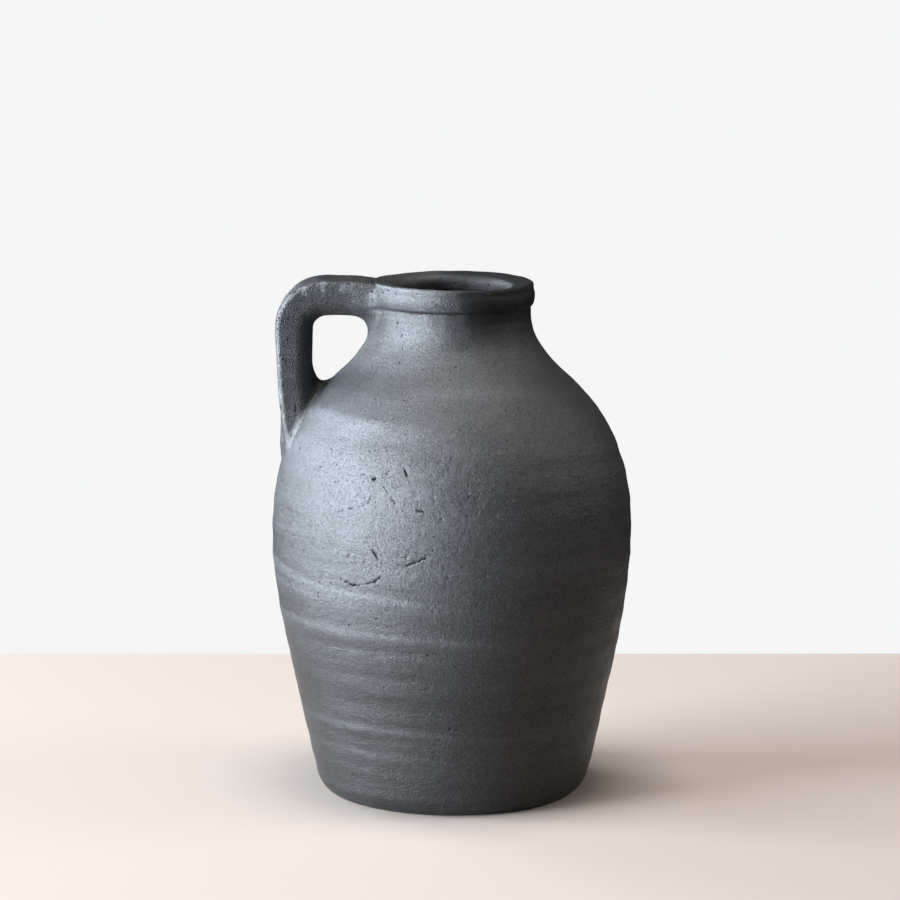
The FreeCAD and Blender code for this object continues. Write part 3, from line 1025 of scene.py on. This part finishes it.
def make_clay():
    material = bpy.data.materials.new("fired_black_clay")
    material.use_nodes = True
    tree = material.node_tree
    tree.nodes.clear()
    link = tree.links.new
    output = add(tree, "ShaderNodeOutputMaterial")
    shader = add(tree, "ShaderNodeBsdfPrincipled")
    link(shader.outputs["BSDF"], output.inputs["Surface"])
    place = add(tree, "ShaderNodeTexCoord").outputs["Object"]

    def mapped(source, scale, turn=(0.0, 0.0, 0.0)):
        node = add(tree, "ShaderNodeMapping")
        node.inputs["Scale"].default_value = scale
        node.inputs["Rotation"].default_value = turn
        link(source, node.inputs["Vector"])
        return node.outputs["Vector"]

    def grains(size, detail=2.0, rough=0.55, stretch=None, output_name="Fac"):
        source = mapped(place, stretch) if stretch else place
        node = add(tree, "ShaderNodeTexNoise", Scale=1.0 / (size * MM), Detail=detail, Roughness=rough)
        link(source, node.inputs["Vector"])
        return node.outputs[output_name]

    def ramp(value, low, high, out_low=0.0, out_high=1.0):
        node = add(tree, "ShaderNodeMapRange")
        limits = {"From Min": low, "From Max": high, "To Min": out_low, "To Max": out_high}
        for name, limit in limits.items():
            node.inputs[name].default_value = limit
        link(value, node.inputs["Value"])
        return node.outputs["Result"]

    def mix(factor, first, second):
        node = add(tree, "ShaderNodeMix", data_type="RGBA")
        link(factor, node.inputs[0])
        for socket, value in ((node.inputs[6], first), (node.inputs[7], second)):
            if isinstance(value, str):
                socket.default_value = (*COLOURS[value], 1.0)
            else:
                link(value, socket)
        return node.outputs[2]

    def math_node(operation, *values):
        node = add(tree, "ShaderNodeMath", operation=operation)
        for socket, value in zip(node.inputs, values):
            if isinstance(value, float):
                socket.default_value = value
            else:
                link(value, socket)
        return node.outputs[0]

    def times(first, second):
        return math_node("MULTIPLY", first, second)

    wobble = add(tree, "ShaderNodeVectorMath", operation="SCALE", Scale=2.2 * MM)
    link(grains(1.7, 2.0, 0.6, None, "Color"), wobble.inputs[0])
    shaken = add(tree, "ShaderNodeVectorMath", operation="ADD")
    link(place, shaken.inputs[0])
    link(wobble.outputs[0], shaken.inputs[1])

    def pits(spacing, share, reach, scale, turn, sharpness):
        """Small holes, at scattered places, as a mask. reach is the largest radius over the spacing."""
        node = add(tree, "ShaderNodeTexVoronoi", Scale=1.0 / (spacing * MM))
        link(mapped(shaken.outputs[0], scale, turn), node.inputs["Vector"])
        parts = add(tree, "ShaderNodeSeparateColor")
        link(node.outputs["Color"], parts.inputs[0])
        radius = ramp(parts.outputs[0], 1.0 - share, 1.0, 0.0, reach)
        return ramp(math_node("SUBTRACT", radius, node.outputs["Distance"]), -sharpness, sharpness)

    wear = add(tree, "ShaderNodeAttribute", attribute_name="wear").outputs["Fac"]
    recess_shade = add(tree, "ShaderNodeAttribute", attribute_name="recess_shade").outputs["Fac"]
    parts = add(tree, "ShaderNodeSeparateXYZ")
    link(place, parts.inputs[0])
    height = parts.outputs[2]
    patches = grains(26.0, 3.0)
    pitted = ramp(patches, 0.36, 0.60, 0.35, 1.0)

    # Grey clay with clouds, wiping streaks, pale grit and soot, and painted shade that darkens it towards
    # the foot.
    colour = mix(ramp(grains(38.0, 3.0), 0.38, 0.62), "clay", "cloud")
    streaks = ramp(grains(7.0, 4.0, 0.62, (0.16, 0.16, 1.0)), 0.45, 0.72, 0.0, 0.45)
    colour = mix(streaks, colour, "streak")
    blotches = ramp(grains(3.4, 4.0, 0.7), 0.52, 0.70, 0.0, 0.4)
    colour = mix(blotches, colour, "blotch")
    specks = times(ramp(grains(0.75, 2.0, 0.7), 0.60, 0.72, 0.0, 0.6), pitted)
    colour = mix(specks, colour, "grit")
    soot = ramp(grains(0.85, 2.0, 0.7, (1.0, 1.0, 1.3)), 0.38, 0.27, 0.0, 0.75)
    colour = mix(soot, colour, "soot")
    # Pale wear, which on the handle also holds the painted highlight spots.
    rubbed = times(wear, ramp(grains(1.9, 3.0, 0.65), 0.36, 0.60, 0.1, 1.0))
    colour = mix(rubbed, colour, "rubbed")
    # Painted shade: darker towards the bottom, with less sheen there too.
    painted_low_shade = math_node("POWER", ramp(height, 0.218, 0.0), 1.5)
    colour = mix(ramp(painted_low_shade, 0.0, 0.55, 0.0, 0.85), colour, "foot")

    # Painted shade on the neck: darker towards its right side and a little darker all round, with less
    # sheen.
    uneven = math_node("MULTIPLY_ADD", grains(14.0, 3.0), 0.03, parts.outputs[0])
    painted_neck_shade = times(ramp(uneven, 0.002, 0.026, 0.2, 1.0), ramp(height, 0.262, 0.284))
    colour = mix(painted_neck_shade, colour, "painted_neck_tone")

    # Pits: the torn ones cut into the shape, with ragged edges, and the smaller ones round them, all
    # painted near black as painted shade.
    ragged = math_node("MULTIPLY_ADD", math_node("SUBTRACT", grains(0.8, 2.0, 0.6), 0.5), 2.4, recess_shade)
    torn = ramp(ragged, 0.42, 0.68, 0.0, 0.95)
    small = times(pits(3.2, 0.5, 0.19, (1.0, 1.0, 1.0), (0.0, 0.0, 0.0), 0.03), pitted)
    tiny = times(pits(1.1, 0.4, 0.30, (1.0, 1.0, 1.0), (0.3, 0.2, 0.0), 0.06), pitted)
    slits = times(pits(2.6, 0.4, 0.13, (0.30, 1.0, 1.0), (0.5, 0.7, 0.4), 0.03), pitted)
    holes = math_node("MAXIMUM", torn, math_node("MAXIMUM", small, math_node("MAXIMUM", tiny, slits)))
    colour = mix(holes, colour, "painted_pit_shade")
    link(colour, shader.inputs["Base Color"])

    gloss = ramp(patches, 0.35, 0.65, 0.36, 0.46)
    link(math_node("MULTIPLY_ADD", holes, 0.35, gloss), shader.inputs["Roughness"])
    shine = times(ramp(painted_low_shade, 0.0, 0.5, 0.66, 0.44), ramp(holes, 0.0, 1.0, 1.0, 0.1))
    shine = times(shine, ramp(grains(1.1, 2.0, 0.75), 0.34, 0.66, 0.64, 1.36))
    shine = times(shine, ramp(painted_neck_shade, 0.0, 1.0, 1.0, 0.5))
    link(shine, shader.inputs["Specular IOR Level"])

    # Grain of the clay, coarser grain, the wiping marks, then the pits: value, strength, distance in m.
    normal = None
    for value, strength, distance in (
            (grains(1.0, 3.0, 0.75), 1.0, 0.0005),
            (grains(2.8, 3.0, 0.6), 0.35, 0.0004),
            (grains(2.2, 3.0, 0.6, (0.12, 0.12, 1.0)), 0.45, 0.00030),
            (math_node("SUBTRACT", 1.0, holes), 0.8, 0.0004)):
        bump = add(tree, "ShaderNodeBump", Strength=strength, Distance=distance)
        link(value, bump.inputs["Height"])
        if normal:
            link(normal, bump.inputs["Normal"])
        normal = bump.outputs["Normal"]
    link(normal, shader.inputs["Normal"])
    return material


clay = make_clay()
for node, piece in pieces.items():
    piece.data.materials.append(clay)
    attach(piece, "root")
    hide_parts(node)


# ---------------- floor and backdrop
TABLE_HALF = 0.345
TABLE_TONE = (0.46, 0.395, 0.35)
TABLE_ROUGHNESS = 0.7
TABLE_SHEEN = 0.1


def plain(name, colour, roughness, sheen):
    material = bpy.data.materials.new(name)
    material.use_nodes = True
    shader = material.node_tree.nodes["Principled BSDF"]
    shader.inputs["Base Color"].default_value = (*colour, 1.0)
    shader.inputs["Roughness"].default_value = roughness
    shader.inputs["Specular IOR Level"].default_value = sheen
    return material


def sheet(name, corners, material):
    mesh = bpy.data.meshes.new(name)
    mesh.from_pydata(corners, [], [tuple(range(len(corners)))])
    mesh.materials.append(material)
    add_object(name, mesh)


corners = [(x * TABLE_HALF, y * TABLE_HALF, 0.0) for x, y in ((-1, -1), (1, -1), (1, 1), (-1, 1))]
sheet("stage_table", corners, plain("stage_table_paint", TABLE_TONE, TABLE_ROUGHNESS, TABLE_SHEEN))


# ---------------- light and camera
def softbox(name, place, aim, width, height, radiance, colour):
    data = bpy.data.lights.new(name, "AREA")
    data.shape = "RECTANGLE"
    data.size = width
    data.size_y = height
    data.energy = radiance * math.pi * width * height
    data.color = colour
    lamp = add_object(name, data)
    lamp.location = place
    direction = Vector(aim) - Vector(place)
    lamp.rotation_euler = direction.to_track_quat("-Z", "Y").to_euler()
    lamp.visible_camera = False


# Softboxes: azimuth to the left of the camera, elevation, radiance and colour. The first stands for
# a window at the left, a little in front, and the rest for light from beside it and from the room.
DAYLIGHT = (0.81, 0.90, 1.0)
BOUNCED = (1.0, 0.97, 0.94)
LAMPS = (
    ("window", 65.0, 5.0, 75.0, DAYLIGHT),
    ("window_side", 90.0, 15.0, 32.0, DAYLIGHT),
    ("front_left", 40.0, 5.0, 5.0, DAYLIGHT),
    ("behind_left", 130.0, 20.0, 12.0, DAYLIGHT),
    ("ceiling", 0.0, 85.0, 15.0, BOUNCED),
    ("right_wall", -90.0, 30.0, 6.0, BOUNCED),
)
LAMP_DISTANCE = 3.2
LAMP_AIM = Vector((0.0, 0.0, 0.16))
LAMP_SIZE = (1.35, 1.3)
for name, turn, lift, radiance, colour in LAMPS:
    turn, lift = math.radians(turn), math.radians(lift)
    towards = Vector((-math.sin(turn) * math.cos(lift), -math.cos(turn) * math.cos(lift), math.sin(lift)))
    softbox(name, LAMP_AIM + LAMP_DISTANCE * towards, LAMP_AIM, *LAMP_SIZE, radiance, colour)

# The backdrop that the camera sees is plain white, while the room gives only a little fill.
ROOM_TONE, ROOM_STRENGTH = (0.98, 0.99, 1.0), 0.02
BACKDROP_TONE, BACKDROP_STRENGTH = (0.96, 0.965, 0.97), 0.95
world = bpy.data.worlds.new("studio")
bpy.context.scene.world = world
world.use_nodes = True
tree = world.node_tree
room = tree.nodes["Background"]
room.inputs["Color"].default_value = (*ROOM_TONE, 1.0)
room.inputs["Strength"].default_value = ROOM_STRENGTH
backdrop = add(tree, "ShaderNodeBackground", Color=(*BACKDROP_TONE, 1.0), Strength=BACKDROP_STRENGTH)
seen = add(tree, "ShaderNodeLightPath")
blend = add(tree, "ShaderNodeMixShader")
tree.links.new(seen.outputs["Is Camera Ray"], blend.inputs[0])
tree.links.new(room.outputs[0], blend.inputs[1])
tree.links.new(backdrop.outputs[0], blend.inputs[2])
tree.links.new(blend.outputs[0], tree.nodes["World Output"].inputs["Surface"])

# The camera's place in metres, how far it looks down in degrees, and its lens in millimetres.
CAMERA_PLACE = (-0.0013, -2.1583, 0.5713)
CAMERA_DIP = 9.75
CAMERA_LENS = 150.16
SENSOR_WIDTH = 36.0
camera_data = bpy.data.cameras.new("camera")
camera_data.sensor_width = SENSOR_WIDTH
camera_data.lens = CAMERA_LENS
camera = add_object("camera", camera_data)
camera.location = CAMERA_PLACE
camera.rotation_euler = (math.radians(90.0 - CAMERA_DIP), 0.0, 0.0)
bpy.context.scene.camera = camera
bpy.context.scene.view_settings.view_transform = "Standard"
